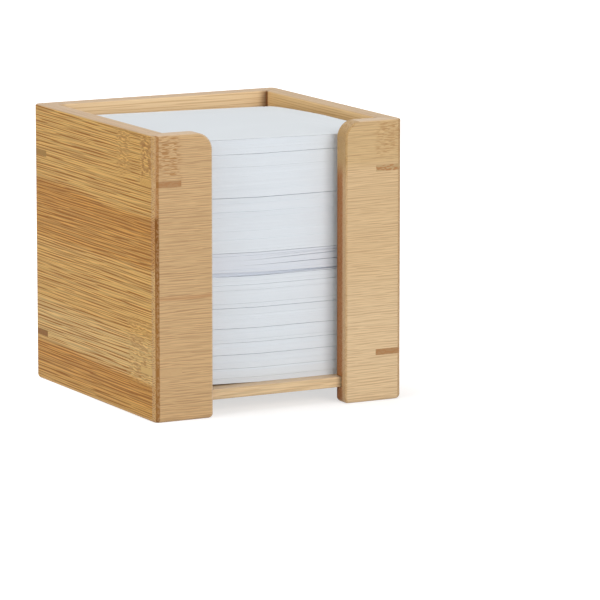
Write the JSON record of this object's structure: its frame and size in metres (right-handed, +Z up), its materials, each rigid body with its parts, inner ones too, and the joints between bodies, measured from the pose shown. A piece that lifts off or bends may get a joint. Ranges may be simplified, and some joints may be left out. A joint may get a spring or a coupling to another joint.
{
  "type": "memo cube box",
  "caption": "Open-fronted bamboo box that holds a cube of loose square notes, with mitred, key-jointed corners.",
  "frame": {"origin": "on the table, under the middle of the box", "axes": "+Z up; the open front faces -Y; +X is to the right of someone who looks at the front"},
  "size_m": [0.112, 0.112, 0.115],
  "materials": {
    "bamboo": "satin",
    "bamboo_key": "satin",
    "paper": "matte"
  },
  "bodies": {
    "holder": {"back_side": "bamboo", "left_side": "bamboo", "right_side": "bamboo", "front_left_cheek": "bamboo", "front_right_cheek": "bamboo", "base_panel": "bamboo", "key_front_left_low": "bamboo_key", "key_front_left_high": "bamboo_key", "key_front_right_low": "bamboo_key", "key_front_right_high": "bamboo_key", "key_back_right_low": "bamboo_key", "key_back_right_high": "bamboo_key", "key_back_left_low": "bamboo_key", "key_back_left_high": "bamboo_key"},
    "sheaf_1": {"note_sheaf_1": "paper"},
    "sheaf_2": {"note_sheaf_2": "paper"},
    "sheaf_3": {"note_sheaf_3": "paper"},
    "sheaf_4": {"note_sheaf_4": "paper"},
    "sheaf_5": {"note_sheaf_5": "paper"},
    "sheaf_6": {"note_sheaf_6": "paper"},
    "sheaf_7": {"note_sheaf_7": "paper"},
    "sheaf_8": {"note_sheaf_8": "paper"},
    "loose_note": {"top_note": "paper"}
  },
  "joints": [
    {"name": "sheaf_1_lift", "type": "slide", "parent": "holder", "child": "sheaf_1", "axis": [0, 0, 1], "range_m": [0, 0.1095]},
    {"name": "sheaf_2_lift", "type": "slide", "parent": "sheaf_1", "child": "sheaf_2", "axis": [0, 0, 1], "range_m": [0, 0.0973]},
    {"name": "sheaf_3_lift", "type": "slide", "parent": "sheaf_2", "child": "sheaf_3", "axis": [0, 0, 1], "range_m": [0, 0.0864]},
    {"name": "sheaf_4_lift", "type": "slide", "parent": "sheaf_3", "child": "sheaf_4", "axis": [0, 0, 1], "range_m": [0, 0.0779]},
    {"name": "sheaf_5_lift", "type": "slide", "parent": "sheaf_4", "child": "sheaf_5", "axis": [0, 0, 1], "range_m": [0, 0.0658]},
    {"name": "sheaf_6_lift", "type": "slide", "parent": "sheaf_5", "child": "sheaf_6", "axis": [0, 0, 1], "range_m": [0, 0.057]},
    {"name": "sheaf_7_lift", "type": "slide", "parent": "sheaf_6", "child": "sheaf_7", "axis": [0, 0, 1], "range_m": [0, 0.034]},
    {"name": "sheaf_8_lift", "type": "slide", "parent": "sheaf_7", "child": "sheaf_8", "axis": [0, 0, 1], "range_m": [0, 0.016]},
    {"name": "loose_note_lift", "type": "slide", "parent": "sheaf_8", "child": "loose_note", "axis": [0, 0, 1], "range_m": [0, 0.0102]}
  ]
}
